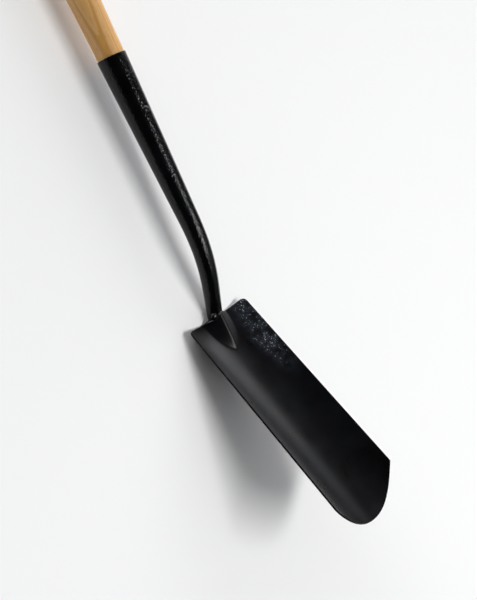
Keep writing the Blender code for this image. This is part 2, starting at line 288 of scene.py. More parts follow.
def add_node(
    tree: NodeTree, kind: str, settings: dict[str, object] | None = None,
    inputs: dict[str | int, object] | None = None,
) -> Node:
    """Adds a node with its settings, values and links.

    Args:
        tree: The node tree.
        kind: The node's type, without the ShaderNode that each one starts with.
        settings: Its properties by name.
        inputs: Values or output sockets for its inputs, by name or number.

    Returns:
        The node.
    """
    node = tree.nodes.new("ShaderNode" + kind)
    for key, value in (settings or {}).items():
        setattr(node, key, value)
    for key, value in (inputs or {}).items():
        if isinstance(value, NodeSocket):
            tree.links.new(value, node.inputs[key])
        else:
            node.inputs[key].default_value = value
    return node


def new_material(name: str) -> tuple[Material, NodeTree, Node]:
    """A material with an empty tree but for its shader and output.

    Args:
        name: The material's name.

    Returns:
        The material, its node tree and its Principled shader.
    """
    material = bpy.data.materials.new(name)
    material.use_nodes = True
    tree = material.node_tree
    return material, tree, tree.nodes["Principled BSDF"]


def pattern_scale(size_mm: float) -> float:
    """A texture's scale for a pattern of a size in millimetres."""
    return 1000.0 / size_mm


def soft_steps(tree: NodeTree, level: float, steps: list[tuple[NodeSocket, float, float]]) -> NodeSocket:
    """A level that is reached where all of some soft steps are full, and falls to 0 past any of them.

    Args:
        tree: The node tree.
        level: What is reached.
        steps: For each step its value, where it is still 0 and where it is full.

    Returns:
        The level's socket.
    """
    product: NodeSocket | float = level
    for value, start, full in steps:
        step = add_node(tree, "MapRange", {"interpolation_type": "SMOOTHSTEP"}, {
            "Value": value, "From Min": start, "From Max": full})
        product = add_node(tree, "Math", MULTIPLY, {
            0: product, 1: step.outputs["Result"]}).outputs[0]
    return product


def lay_over(tree: NodeTree, colour: object, layers: list[tuple[NodeSocket, str]]) -> NodeSocket:
    """Lays colours over a first one.

    Args:
        tree: The node tree.
        colour: The first colour or its socket.
        layers: For each further colour the socket of its share, and its hex code.

    Returns:
        The last colour's socket.
    """
    for share, code in layers:
        colour = add_node(tree, "Mix", {"data_type": "RGBA"}, {
            "Factor": share, FIRST_COLOUR: colour, SECOND_COLOUR: hex_colour(code)}).outputs[MIXED_COLOUR]
    return colour


@dataclass(frozen=True)
class BakedEnamel:
    """Black baking enamel sprayed on hot-rolled steel.

    The eye sees a near-black gloss with a fine orange peel. Where the steel kept its
    mill scale the film is lumpy, and each lump catches a light as a bright speck. An
    edge is a pair of a pattern's values, between which something sets in.
    """

    name: str
    colour: str = "#030304"
    lifted: str = "#07080b"
    roughness: float = 0.22
    roughness_spread: Pair = (-0.03, 0.04)
    reflectance: float = 0.25
    cloud_mm: float = 35.7143
    gloss_edge: Pair = (0.3, 0.7)
    thin_edge: Pair = (0.35, 0.7)
    peel_mm: float = 1.6
    peel_depth: float = 0.00003
    patch_mm: float = 25.0
    patch_detail: float = 2.0
    patch_edge: Pair = (0.45, 0.65)
    scale_mm: float = 3.0
    scale_depth: float = 0.00016
    scale_floor: float = 0.0
    dust: float = 0.0
    dust_roughness: float = 0.38

    def build(self) -> Material:
        """The enamel's node material."""
        material, tree, shader = new_material(self.name)
        shader.inputs["Sheen Weight"].default_value = self.dust
        shader.inputs["Sheen Roughness"].default_value = self.dust_roughness
        shader.inputs["Specular IOR Level"].default_value = self.reflectance
        place = add_node(tree, "TexCoord").outputs["Object"]
        cloud = add_node(tree, "TexNoise", inputs={
            "Vector": place, "Scale": pattern_scale(self.cloud_mm), "Detail": 3.0}).outputs["Fac"]
        mask = self.scale_mask(tree, place)
        colour = lay_over(tree, hex_colour(self.colour), self.layers(tree, place, cloud, mask))
        tree.links.new(colour, shader.inputs["Base Color"])
        tree.links.new(self.relief(tree, place, mask), shader.inputs["Normal"])
        gloss = add_node(tree, "MapRange", inputs={
            "Value": cloud, "From Min": self.gloss_edge[0], "From Max": self.gloss_edge[1],
            "To Min": self.roughness + self.roughness_spread[0],
            "To Max": self.roughness + self.roughness_spread[1]})
        tree.links.new(gloss.outputs["Result"], shader.inputs["Roughness"])
        return material

    def relief(self, tree: NodeTree, place: NodeSocket, mask: NodeSocket) -> NodeSocket:
        """The film's relief: lumps where it lies over mill scale, and orange peel all over.

        Args:
            tree: The material's node tree.
            place: The place on the piece.
            mask: How much mill scale there is.

        Returns:
            The normal's socket.
        """
        peel = add_node(tree, "TexNoise", inputs={
            "Vector": place, "Scale": pattern_scale(self.peel_mm), "Detail": 1.0})
        lumps = add_node(tree, "TexVoronoi", {"feature": "SMOOTH_F1"}, {
            "Vector": place, "Scale": pattern_scale(self.scale_mm), "Smoothness": 0.6, "Randomness": 1.0})
        height = add_node(tree, "Math", MULTIPLY, {
            0: lumps.outputs["Distance"], 1: mask})
        lumpy = add_node(tree, "Bump", inputs={
            "Height": height.outputs[0], "Distance": self.scale_depth, "Strength": 1.0})
        return add_node(tree, "Bump", inputs={
            "Height": peel.outputs["Fac"], "Distance": self.peel_depth, "Strength": 1.0,
            "Normal": lumpy.outputs["Normal"]}).outputs["Normal"]

    def layers(
        self, tree: NodeTree, place: NodeSocket, cloud: NodeSocket, mask: NodeSocket,
    ) -> list[tuple[NodeSocket, str]]:
        """The colours over the film's own: a lifted one where it is thin.

        Args:
            tree: The material's node tree.
            place: The place on the piece.
            cloud: A slow noise over the piece.
            mask: How much mill scale there is.

        Returns:
            Each colour's share and hex code.
        """
        thin = add_node(tree, "MapRange", inputs={
            "Value": cloud, "From Min": self.thin_edge[0], "From Max": self.thin_edge[1]})
        return [(thin.outputs["Result"], self.lifted)]

    def scale_mask(self, tree: NodeTree, place: NodeSocket) -> NodeSocket:
        """How much mill scale there is under the film at each place."""
        patches = add_node(tree, "TexNoise", inputs={
            "Vector": place, "Scale": pattern_scale(self.patch_mm), "Detail": self.patch_detail})
        return add_node(tree, "MapRange", inputs={
            "Value": patches.outputs["Fac"], "From Min": self.patch_edge[0], "From Max": self.patch_edge[1],
            "To Min": self.scale_floor}).outputs["Result"]


@dataclass(frozen=True)
class BladeEnamel(BakedEnamel):
    """The same enamel, rolled out satin, on the blade.

    The eye sees a soft black sheen. Mill scale is left under it along the right
    shoulder, and there the film is bluish and mottled. The mottle colour is partly the
    scale's own tone and partly painted reflection of light scattered by the lumps. Pale
    specks over it are painted highlights: glints of the lamp on the lumps, painted into
    the colour. The scale's centre and reach are distances down and across the blade. A
    cell of the glint pattern shows its painted glint by the number that it draws, the
    choice, and by how much mill scale is there, the ground.
    """

    roughness: float = 0.29
    reflectance: float = 0.17
    dust: float = 0.17
    patch_mm: float = 11.1111
    patch_detail: float = 3.0
    patch_edge: Pair = (0.38, 0.6)
    scale_mm: float = 2.6
    scale_depth: float = 0.0003
    scale_floor: float = 0.1
    scale_centre: Pair = (0.050, 0.049)
    scale_reach: Pair = (0.088, 0.026)
    reach_edge: Pair = (1.1, 0.35)
    # The mottle colour is partly the scale's own bluish tone and partly painted reflection of light
    # scattered by the lumps.
    mottle_and_shine: str = "#23272d"
    # The glint colour is a painted highlight: pale specks that stand in for the lamp's glints on the lumps.
    glint_colour: str = "#c2c6ca"
    glint_mm: float = 1.8
    glint_edge: Pair = (0.36, 0.14)
    glint_choice: Pair = (0.40, 0.85)
    glint_ground: Pair = (0.25, 0.75)
    glint_bend: float = 0.0012
    bend_mm: float = 1.25

    def layers(
        self, tree: NodeTree, place: NodeSocket, cloud: NodeSocket, mask: NodeSocket,
    ) -> list[tuple[NodeSocket, str]]:
        """The plain film's layers, with mottling that is partly painted reflection, and ragged painted
        glints, where there is mill scale.
        """
        ragged = add_node(tree, "TexNoise", inputs={
            "Vector": place, "Scale": pattern_scale(self.bend_mm), "Detail": 2.0})
        bend = add_node(tree, "VectorMath", {"operation": "SCALE"}, {
            0: ragged.outputs["Color"], "Scale": self.glint_bend})
        bent = add_node(tree, "VectorMath", {"operation": "ADD"}, {0: place, 1: bend.outputs[0]})
        cells = add_node(tree, "TexVoronoi", {"feature": "F1"}, {
            "Vector": bent.outputs[0], "Scale": pattern_scale(self.glint_mm), "Randomness": 1.0})
        draw = add_node(tree, "SeparateXYZ", inputs={0: cells.outputs["Color"]})
        glinting = soft_steps(tree, 1.0, [
            (cells.outputs["Distance"], *self.glint_edge),
            (draw.outputs["X"], *self.glint_choice),
            (mask, *self.glint_ground),
        ])
        # The partly painted mottle and the painted glints are laid over the film.
        return super().layers(tree, place, cloud, mask) + [(mask, self.mottle_and_shine), (glinting, self.glint_colour)]

    def scale_mask(self, tree: NodeTree, place: NodeSocket) -> NodeSocket:
        """Mill scale in a patch by the right shoulder that thins out down the blade, which also places the
        painted glints and the partly painted mottle.
        """
        shift = Matrix.Rotation(HEAD_TILT, 3, "Y") @ -HEAD_PLACE
        flat = add_node(tree, "Mapping", inputs={
            "Vector": place, "Location": shift, "Rotation": (0.0, HEAD_TILT, 0.0)})
        centred = add_node(tree, "VectorMath", {"operation": "SUBTRACT"}, {
            0: flat.outputs["Vector"], 1: (*self.scale_centre, 0.0)})
        scaled = add_node(tree, "VectorMath", MULTIPLY, {
            0: centred.outputs[0], 1: (1 / self.scale_reach[0], 1 / self.scale_reach[1], 0.0)})
        far = add_node(tree, "VectorMath", {"operation": "LENGTH"}, {0: scaled.outputs[0]})
        patch = soft_steps(tree, 1.0, [(far.outputs["Value"], *self.reach_edge)])
        return add_node(tree, "Math", MULTIPLY, {
            0: patch, 1: super().scale_mask(tree, place)}).outputs[0]


@dataclass(frozen=True)
class GrainMark:
    """One kind of fine mark along the grain.

    Its stretch is its width over its length. Its edge is the pair of noise values
    between which it sets in, up to its strength.
    """

    colour: str
    width_mm: float
    detail: float
    stretch: float
    edge: Pair
    strength: float


@dataclass(frozen=True)
class VarnishedAsh:
    """Turned ash, sanded along the grain and varnished satin.

    The eye sees straight streaks along the handle: pale pinkish early wood, golden
    brown late wood and fine dark pores, under a soft sheen. Real pores are finer than
    these, which are as coarse as the render needs to show them.
    """

    name: str = "varnished_ash"
    light: str = "#dcae78"
    middle: str = "#ca9851"
    dark: str = "#b27e39"
    ring_mm: float = 5.5
    ring_stops: tuple[float, ...] = (0.0, 0.35, 0.62, 0.82, 0.95)
    pith: Triple = (0.034, -0.052, 0.0)
    wander_mm: float = 45.4545
    wander: float = 0.018
    wander_stretch: float = 0.045
    streaks: GrainMark = GrainMark("#ca9851", 1.11111, 3.0, 0.02, (0.3, 0.75), 0.45)
    pores: GrainMark = GrainMark("#93652c", 0.666667, 1.0, 0.06, (0.6, 0.72), 0.5)
    streak_depth: float = 0.00006
    roughness: float = 0.42
    roughness_spread: float = 0.04

    def build(self, turn: float, origin: Vector) -> Material:
        """The wood's node material.

        Args:
            turn: The handle's turn about Y in the world.
            origin: The point of the handle's axis at the socket's mouth.

        Returns:
            The material.
        """
        material, tree, shader = new_material(self.name)
        place = add_node(tree, "TexCoord").outputs["Object"]
        back = Matrix.Rotation(-turn, 3, "Y")
        local = add_node(tree, "Mapping", inputs={
            "Vector": place, "Location": back @ -origin, "Rotation": (0.0, -turn, 0.0)}).outputs["Vector"]
        ring = self.rings(tree, local)
        noises = []
        layers = []
        for mark in (self.streaks, self.pores):
            along = add_node(tree, "VectorMath", MULTIPLY, {
                0: local, 1: (1.0, 1.0, mark.stretch)}).outputs[0]
            noise = add_node(tree, "TexNoise", inputs={
                "Vector": along, "Scale": pattern_scale(mark.width_mm), "Detail": mark.detail})
            noises.append(noise.outputs["Fac"])
            share = add_node(tree, "MapRange", inputs={
                "Value": noises[-1], "From Min": mark.edge[0], "From Max": mark.edge[1],
                "To Max": mark.strength})
            layers.append((share.outputs["Result"], mark.colour))
        colour = lay_over(tree, self.ring_colour(tree, ring), layers)
        tree.links.new(colour, shader.inputs["Base Color"])
        sheen = add_node(tree, "MapRange", inputs={
            "Value": ring, "To Min": self.roughness + self.roughness_spread,
            "To Max": self.roughness - self.roughness_spread})
        tree.links.new(sheen.outputs["Result"], shader.inputs["Roughness"])
        bump = add_node(tree, "Bump", inputs={
            "Height": noises[0], "Distance": self.streak_depth, "Strength": 0.6})
        tree.links.new(bump.outputs["Normal"], shader.inputs["Normal"])
        return material

    def rings(self, tree: NodeTree, local: NodeSocket) -> NodeSocket:
        """How far each place is through its growth ring, from 0 to 1.

        Args:
            tree: The material's node tree.
            local: The place on the handle, with +Z along it.

        Returns:
            The share's socket.
        """
        grain = add_node(tree, "VectorMath", MULTIPLY, {
            0: local, 1: (1.0, 1.0, self.wander_stretch)}).outputs[0]
        drift = add_node(tree, "TexNoise", inputs={
            "Vector": grain, "Scale": pattern_scale(self.wander_mm), "Detail": 2.0})
        bend = add_node(tree, "VectorMath", {"operation": "SCALE"}, {
            0: drift.outputs["Color"], "Scale": self.wander}).outputs[0]
        for operation, other in (("ADD", bend), ("ADD", self.pith), ("MULTIPLY", (1.0, 1.0, 0.0))):
            grain = add_node(tree, "VectorMath", {"operation": operation}, {
                0: grain, 1: other}).outputs[0]
        radius = add_node(tree, "VectorMath", {"operation": "LENGTH"}, {0: grain})
        count = add_node(tree, "Math", MULTIPLY, {
            0: radius.outputs["Value"], 1: pattern_scale(self.ring_mm)})
        return add_node(tree, "Math", {"operation": "FRACT"}, {0: count.outputs[0]}).outputs[0]

    def ring_colour(self, tree: NodeTree, ring: NodeSocket) -> NodeSocket:
        """The colour through a ring, from pale early wood to brown late wood."""
        tone = add_node(tree, "ValToRGB", inputs={"Fac": ring})
        ramp = tone.color_ramp
        ramp.interpolation = "B_SPLINE"
        while len(ramp.elements) < len(self.ring_stops):
            ramp.elements.new(0.5)
        codes = (self.light, self.middle, self.light, self.dark, self.middle)
        for element, position, code in zip(ramp.elements, self.ring_stops, codes):
            element.position = position
            element.color = hex_colour(code)
        return tone.outputs["Color"]


# Pieces

@dataclass
class Blade:
    """One pressed steel sheet: a trough with a round point, round shoulders and a frog."""

    length: float = 0.35494
    top_width: float = 0.1143
    lower_width: float = 0.12692
    top_dish: float = 0.0153
    point_dish: float = 0.0292
    sheet: float = 0.00242
    point_length: float = 0.046
    point_fullness: float = 2.2
    point_flat: float = 0.004
    shoulder: float = 0.007
    frog_length: float = 0.0525
    frog_half_width: float = 0.0212
    frog_height: float = 0.0225
    nose_share: float = 0.35
    nose_blunt: float = 0.02
    nose_slope: float = 0.40
    crest_radius: float = 0.00265
    foot_softness: float = 0.0014
    edge_round: float = 0.0005
    slot_room: float = 0.0001
    smoothing: float = 35.0
    # By its point the frog's width squared stays at least this share of its full width squared.
    flank_floor: float = 0.02
    # A slope of the face is measured this far to either side.
    probe: float = 0.0002
    shoulder_rows: int = 10
    frog_rows: int = 66
    frog_rows_reach: float = 1.25
    side_rows: int = 100
    point_rows: int = 34
    frog_columns: int = 42
    frog_columns_share: float = 0.46
    side_columns: int = 26
    finish: BakedEnamel = BladeEnamel("black_enamel_on_blade")

    @property
    def side_length(self) -> float:
        """Length of the straight sides."""
        return self.length - self.point_length

    def width(self, x: float) -> float:
        """The trough's width at a distance down the blade."""
        return self.top_width + (self.lower_width - self.top_width) * x / self.side_length

    def half_width(self, x: float) -> float:
        """Half the blade's outline at x, with its round shoulders and its round point.

        Args:
            x: Distance down the blade.

        Returns:
            Half the width.
        """
        splay = atan2((self.lower_width - self.top_width) / 2, self.side_length)
        if x < self.shoulder:
            centre = self.top_width / 2 + self.shoulder * (tan(splay) - 1 / cos(splay))
            return centre + sqrt(max(0.0, x * (2 * self.shoulder - x)))
        if x < self.side_length:
            return self.width(x) / 2
        left = max(0.0, (self.length - x) / self.point_length)
        return max(self.lower_width / 2 * left ** (1 / self.point_fullness), self.point_flat / 2)

    def height(self, x: float, y: float) -> float:
        """Height of the blade's face over the bottom of its hollow.

        Args:
            x: Distance down the blade.
            y: Distance from the centre line.

        Returns:
            The trough's height plus the frog's.
        """
        half = self.width(x) / 2
        depth = self.top_dish + (self.point_dish - self.top_dish) * x / self.length
        radius = (half * half + depth * depth) / (2 * depth)
        dish = radius - sqrt(radius * radius - y * y)
        share = max(0.0, x / self.frog_length)
        crest = self.frog_height * self.crest_share(1 - share)
        flank = max(crest, 0.0) / (self.frog_half_width * sqrt(max(1 - share * share, self.flank_floor)))
        slope = hypot(flank, self.nose_slope * share)
        softness = slope * self.crest_radius
        rise = crest - slope * (hypot(y, softness) - softness)
        return dish + (rise + hypot(rise, self.foot_softness)) / 2

    def crest_share(self, left: float) -> float:
        """The frog's height at a share of its length from its point, with a blunt nose.

        Args:
            left: Share of the frog's length that is left, below 0 beyond its point.

        Returns:
            Share of the frog's full height.
        """
        root = sqrt(self.nose_blunt)
        nose = sqrt(left + self.nose_blunt) - root if left > 0 else left / (2 * root)
        full = sqrt(1 + self.nose_blunt) - root
        return (1 - self.nose_share) * left + self.nose_share * nose / full

    def normal(self, x: float, y: float) -> Vector:
        """Unit vector out of the blade's face."""
        step = self.probe
        along = (self.height(x + step, y) - self.height(x - step, y)) / (2 * step)
        across = (self.height(x, y + step) - self.height(x, y - step)) / (2 * step)
        return Vector((-along, -across, 1.0)).normalized()

    def rows(self) -> list[float]:
        """Distances down the blade, close together where its outline or face turns."""
        reach = self.frog_length * self.frog_rows_reach
        shoulder = [self.shoulder * (1 - cos(turn)) for turn in spread(0.0, pi / 2, self.shoulder_rows)]
        frog = spread(self.shoulder, reach, self.frog_rows)[1:]
        sides = spread(reach, self.side_length, self.side_rows)[1:]
        shares = [cos(turn) for turn in spread(0.0, pi / 2, self.point_rows)[1:-1]]
        point = [self.length - self.point_length * share ** self.point_fullness for share in shares]
        return shoulder + frog + sides + point + [self.length]

    def columns(self) -> list[float]:
        """Shares of the half width from side to side, close together over the frog."""
        inner = spread(0.0, self.frog_columns_share, self.frog_columns)
        outer = spread(self.frog_columns_share, 1.0, self.side_columns)[1:]
        half = inner + outer
        return [-share for share in reversed(half[1:])] + half

    def press(self) -> Object:
        """Presses the flat blank into the blade's shape and gives it its thickness."""
        rows = self.rows()
        columns = self.columns()
        deselect_all()
        bpy.ops.mesh.primitive_grid_add(
            x_subdivisions=len(rows) - 1, y_subdivisions=len(columns) - 1, size=1.0,
        )
        blade = name_new("pressed_blade")
        for vertex in blade.data.vertices:
            row = round((vertex.co.x + 0.5) * (len(rows) - 1))
            column = round((vertex.co.y + 0.5) * (len(columns) - 1))
            x = rows[row]
            y = columns[column] * self.half_width(x)
            vertex.co = (x, y, self.height(x, y))
        blade.data.update()
        thicken(blade, self.sheet)
        round_edges(blade, self.edge_round)
        return blade

    def build(self, socket: "Socket") -> None:
        """Makes the blade, with its slot for the neck.

        Args:
            socket: The socket, whose neck stands in the slot.
        """
        blade = self.press()
        merge(blade, socket.solid("neck_slot", self.slot_room), Merge.CUT)
        finish_piece(blade, self.smoothing, "blade", self.finish.build())


@dataclass
class Socket:
    """One swaged tube: a swan neck that widens into the socket for the handle."""

    foot_height: float = 0.0070
    foot_depth: float = 0.008
    neck_radius: float = 0.0109
    neck_angle: float = 46.65
    straight: float = 0.0307
    bend_length: float = 0.1299
    bend_radius: float = 0.01475
    socket_angle: float = 21.6
    length: float = 0.2265
    mouth_radius: float = 0.02065
    wall: float = 0.0019
    rim_round: float = 0.0004
    foot_floor: float = 0.0015
    grind_width: float = 8.0
    smoothing: float = 35.0
    sides: int = 72
    neck_steps: int = 16
    bend_steps: int = 56
    socket_steps: int = 44
    # The eye sees a hard gloss whose long highlight breaks into grains over the tube's scale.
    finish: BakedEnamel = BakedEnamel(
        "black_enamel_on_socket", roughness=0.14, reflectance=0.25, peel_mm=1.2, peel_depth=0.00004,
        scale_mm=2.2, scale_depth=0.0004, scale_floor=0.85,
    )

    @staticmethod
    def direction(angle: float) -> Vector:
        """Unit vector up the neck, at an angle over the blade's length."""
        return Vector((-cos(radians(angle)), 0.0, sin(radians(angle))))

    @staticmethod
    def lean(angle: float) -> float:
        """Turn about Y, in radians, that faces a section up the neck at an angle."""
        return radians(angle) - pi / 2

    @property
    def taper(self) -> float:
        """Growth of the socket's radius per metre."""
        return (self.mouth_radius - self.bend_radius) / self.length

    def bend_angle(self, share: float) -> float:
        """The tube's angle at a share of its bend."""
        return self.neck_angle + (self.socket_angle - self.neck_angle) * ease(share)

    def mouth(self) -> Vector:
        """Centre of the socket's mouth in the head's frame."""
        return self.sections(0.0)[-1].centre

    def sections(self, grow: float) -> list[Section]:
        """The tube's cross-sections from its foot to its mouth.

        Args:
            grow: What is added to each radius.

        Returns:
            The sections in order.
        """
        start = Vector((0.0, 0.0, self.foot_height))
        swage = (self.bend_radius - self.neck_radius) / (self.straight + self.bend_length)
        up = self.direction(self.neck_angle)
        sections = []
        for along in spread(-self.foot_depth, self.straight, self.neck_steps):
            radius = self.neck_radius + swage * max(0.0, along) + grow
            sections.append(Section(start + up * along, radius, self.lean(self.neck_angle)))
        point = start + up * self.straight
        step = self.bend_length / self.bend_steps
        for i in range(self.bend_steps):
            point = point + self.direction(self.bend_angle((i + 0.5) / self.bend_steps)) * step
            end = (i + 1) / self.bend_steps
            radius = self.neck_radius + swage * (self.straight + self.bend_length * end) + grow
            sections.append(Section(point, radius, self.lean(self.bend_angle(end))))
        for share in spread(0.0, 1.0, self.socket_steps)[1:]:
            radius = self.bend_radius + (self.mouth_radius - self.bend_radius) * share + grow
            centre = point + self.direction(self.socket_angle) * self.length * share
            sections.append(Section(centre, radius, self.lean(self.socket_angle)))
        return sections

    def solid(self, name: str, grow: float) -> Object:
        """A solid bar of the tube's outer shape, for cutting its neighbours."""
        return draw_out(name, self.sections(grow), self.sides, End.CLOSED)

    def build(self, rivet: "Rivet") -> None:
        """Makes the tube with its wall, its ground foot and its rivet hole.

        Args:
            rivet: The rivet that passes through it.
        """
        tube = draw_out("swan_neck_socket", self.sections(0.0), self.sides, End.OPEN)
        thicken(tube, self.wall)
        round_edges(tube, self.rim_round)
        settle(tube, head_matrix())
        merge(tube, self.grind(), Merge.CUT)
        settle(tube, head_matrix().inverted())
        merge(tube, rivet.hole(self), Merge.CUT)
        finish_piece(tube, self.smoothing, "socket", self.finish.build())

    def grind(self) -> Object:
        """A block up to the plane that the neck's foot is ground to, just over the floor."""
        deselect_all()
        size = self.neck_radius * self.grind_width
        middle = (HEAD_PLACE.x, 0.0, self.foot_floor - size / 2)
        bpy.ops.mesh.primitive_cube_add(size=size, location=middle)
        block = name_new("foot_grind")
        bpy.ops.object.transform_apply(location=True, rotation=True, scale=True)
        return block


@dataclass
class Rivet:
    """One rivet from front to back through the socket and the handle."""

    distance: float = 0.081
    shank: float = 0.0024
    head: float = 0.0049
    head_height: float = 0.0022
    head_steps: int = 9
    tail: float = 0.0042
    tail_height: float = 0.0017
    tail_steps: int = 7
    rim_room: float = 0.0002
    saddle_room: float = 0.00005
    saddle_half_length: float = 0.012
    hole_room: float = 0.0001
    hole_reach: float = 1.5
    hole_sides: int = 32
    sides: int = 40
    smoothing: float = 40.0
    # The eye sees a small head whose film is lighter grey in patches: partly rubbed thin, and partly a
    # painted highlight that stands in for the head's faint glint.
    finish: BakedEnamel = BakedEnamel("worn_and_glinting_enamel_on_rivet", "#0b0b0c", "#26272a", roughness=0.26)

    def place(self, socket: Socket) -> Matrix:
        """The rivet's own frame in the head's frame, +Z out of the front of the socket."""
        centre = socket.mouth() - socket.direction(socket.socket_angle) * self.distance
        return Matrix.Translation(centre) @ Matrix.Rotation(radians(socket.socket_angle), 4, "Y")

    def bar(self, socket: Socket, name: str, profile: list[Pair], sides: int) -> Object:
        """A round bar along the rivet's axis.

        Args:
            socket: The socket that the rivet is in.
            name: The bar's name.
            profile: Radius and height over the socket's axis, in order.
            sides: Points round the bar.

        Returns:
            The bar in the head's frame.
        """
        rings = [Section(Vector((0.0, 0.0, z)), radius) for radius, z in profile]
        bar = draw_out(name, rings, sides, End.CLOSED)
        settle(bar, self.place(socket))
        return bar

    def hole(self, socket: Socket) -> Object:
        """A bar through both walls, for cutting the rivet's hole."""
        reach = socket.mouth_radius * self.hole_reach
        radius = self.shank + self.hole_room
        return self.bar(socket, "rivet_hole", [(radius, -reach), (radius, reach)], self.hole_sides)

    @staticmethod
    def dome(radius: float, rim: float, rise: float, steps: int) -> list[Pair]:
        """The profile of a domed end from its rim towards its crown.

        Args:
            radius: Radius of the rim.
            rim: Height of the rim.
            rise: Height of the crown over the rim, below 0 at the back.
            steps: Rings in the dome.

        Returns:
            Radius and height of each ring.
        """
        turns = spread(0.0, pi / 2, steps)[:-1]
        return [(radius * cos(turn), rim + rise * sin(turn)) for turn in turns]

    def build(self, socket: Socket) -> None:
        """Makes the rivet with its domed head, its shank and its upset tail.

        Args:
            socket: The socket that it holds the handle in.
        """
        reach = socket.mouth_radius - socket.taper * self.distance
        seat = sqrt(reach * reach - self.head * self.head) + self.rim_room
        back = -sqrt(reach * reach - self.tail * self.tail) - self.rim_room
        head = self.dome(self.head, reach, self.head_height, self.head_steps)
        tail = self.dome(self.tail, -reach, -self.tail_height, self.tail_steps)
        necks = [(self.tail, back), (self.shank, back), (self.shank, seat), (self.head, seat)]
        profile = tail[::-1] + necks + head
        rivet = self.bar(socket, "handle_rivet", profile, self.sides)
        merge(rivet, self.saddle(socket), Merge.CUT)
        shank = [(self.shank, z) for z in (-reach, 0.0, reach)]
        merge(rivet, self.bar(socket, "rivet_shank", shank, self.sides), Merge.ADD)
        finish_piece(rivet, self.smoothing, "rivet", self.finish.build())

    def saddle(self, socket: Socket) -> Object:
        """The stretch of the socket that the rivet's head and tail are bedded on."""
        along = socket.direction(socket.socket_angle)
        middle = socket.mouth() - along * self.distance
        ends = []
        for offset in (-self.saddle_half_length, self.saddle_half_length):
            radius = socket.mouth_radius - socket.taper * (self.distance - offset) + self.saddle_room
            ends.append(Section(middle + along * offset, radius, socket.lean(socket.socket_angle)))
        return draw_out("rivet_saddle", ends, socket.sides, End.CLOSED)


@dataclass
class NeckWeld:
    """The arc-weld bead across the frog, between its top edge and the neck.

    Its wobble shifts the ripples, at a rate in radians a metre, so that they are uneven.
    """

    radius: float = 0.0021
    sink: float = 0.0006
    distance: float = 0.0022
    ends: Pair = (-0.0205, 0.0060)
    taper_length: float = 0.003
    end_share: float = 0.3
    bulge: float = 0.0030
    bulge_middle: float = -0.0095
    bulge_reach: float = 0.0055
    ripple: float = 0.0013
    ripple_share: float = 0.04
    ripple_mean: float = 0.6
    wobble: float = 1.1
    wobble_rate: float = 900.0
    drop_place: float = 0.0004
    drop_radius: float = 0.0047
    drop_lift: float = 0.0026
    drop_flatness: float = 0.72
    drop_lean: Triple = (0.399, -0.226, 0.889)
    drop_sides: int = 36
    drop_rings: int = 20
    neck_room: float = 0.00005
    smoothing: float = 60.0
    steps: int = 150
    sides: int = 28
    # The eye sees a wet gloss that runs smoothly over the bead's ripples.
    finish: BakedEnamel = BakedEnamel(
        "black_enamel_on_weld", roughness=0.17, reflectance=0.5, scale_depth=0.00005,
    )

    def bead_radius(self, y: float) -> float:
        """The bead's radius at a place across the blade.

        Args:
            y: Distance from the centre line.

        Returns:
            The radius, drawn in at the ends and rippled between them.
        """
        taper = min(1.0, (y - self.ends[0]) / self.taper_length, (self.ends[1] - y) / self.taper_length)
        radius = self.radius * (self.end_share + (1 - self.end_share) * sin(taper * pi / 2))
        ripple = abs(sin(pi * y / self.ripple + self.wobble * sin(self.wobble_rate * y)))
        return radius * (1 + self.ripple_share * (ripple - self.ripple_mean))

    def build(self, blade: Blade, socket: Socket) -> None:
        """Makes the bead, cut to the neck and bedded on the frog.

        Args:
            blade: The blade that the bead lies on.
            socket: The socket whose neck it holds.
        """
        sections = []
        for y in spread(*self.ends, self.steps):
            distance = self.distance + self.bulge * exp(-(((y - self.bulge_middle) / self.bulge_reach) ** 2))
            normal = blade.normal(distance, y)
            face = Vector((distance, y, blade.height(distance, y)))
            lean = atan2(normal.y, normal.z)
            sections.append(Section(face - normal * self.sink, self.bead_radius(y), -pi / 2 - lean))
        bead = draw_out("neck_weld_bead", sections, self.sides, End.CLOSED, Axis.ALONG)
        merge(bead, self.drop(blade), Merge.ADD)
        merge(bead, socket.solid("neck_in_weld", self.neck_room), Merge.CUT)
        finish_piece(bead, self.smoothing, "neck_weld", self.finish.build())

    def drop(self, blade: Blade) -> Object:
        """The round drop of weld metal left on the near side of the neck's foot."""
        x = self.drop_place
        y = self.bulge_middle
        centre = Vector((x, y, blade.height(x, y) + self.drop_lift))
        deselect_all()
        bpy.ops.mesh.primitive_uv_sphere_add(
            segments=self.drop_sides, ring_count=self.drop_rings, radius=self.drop_radius,
        )
        drop = name_new("weld_drop")
        bpy.ops.object.mode_set(mode="EDIT")
        bpy.ops.mesh.select_all(action="SELECT")
        bpy.ops.transform.resize(value=(1.0, 1.0, self.drop_flatness))
        bpy.ops.object.mode_set(mode="OBJECT")
        lean = Vector(self.drop_lean).to_track_quat("Z", "Y").to_matrix().to_4x4()
        settle(drop, Matrix.Translation(centre) @ lean)
        return drop


